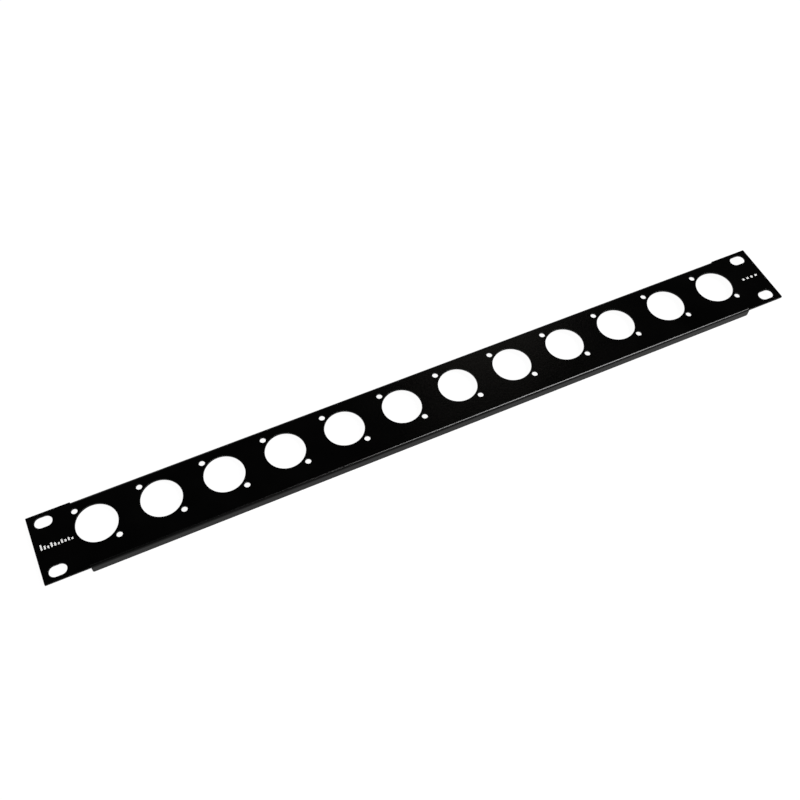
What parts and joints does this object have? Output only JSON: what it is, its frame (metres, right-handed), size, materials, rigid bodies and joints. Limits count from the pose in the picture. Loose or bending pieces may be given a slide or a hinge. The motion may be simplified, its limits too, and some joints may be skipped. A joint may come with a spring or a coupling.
{
  "type": "rack connector panel",
  "caption": "Long flat folded steel rack panel with a row of round connector cut-outs, diagonal screw holes, slotted mounting ears and printed marks.",
  "frame": {"origin": "centre of the four rack slots, on the rear face of the mounting ears", "axes": "+X along the panel to its right end seen from the front, +Y to its top edge, +Z out of its front face"},
  "size_m": [0.4826, 0.0436, 0.0064],
  "materials": {
    "coated_steel": "satin black powder coat with a fine orange-peel grain",
    "print_ink": "thin white screen-printed ink"
  },
  "bodies": {
    "root": {"panel": "coated_steel", "left_print": "print_ink", "right_print": "print_ink"}
  },
  "joints": []
}
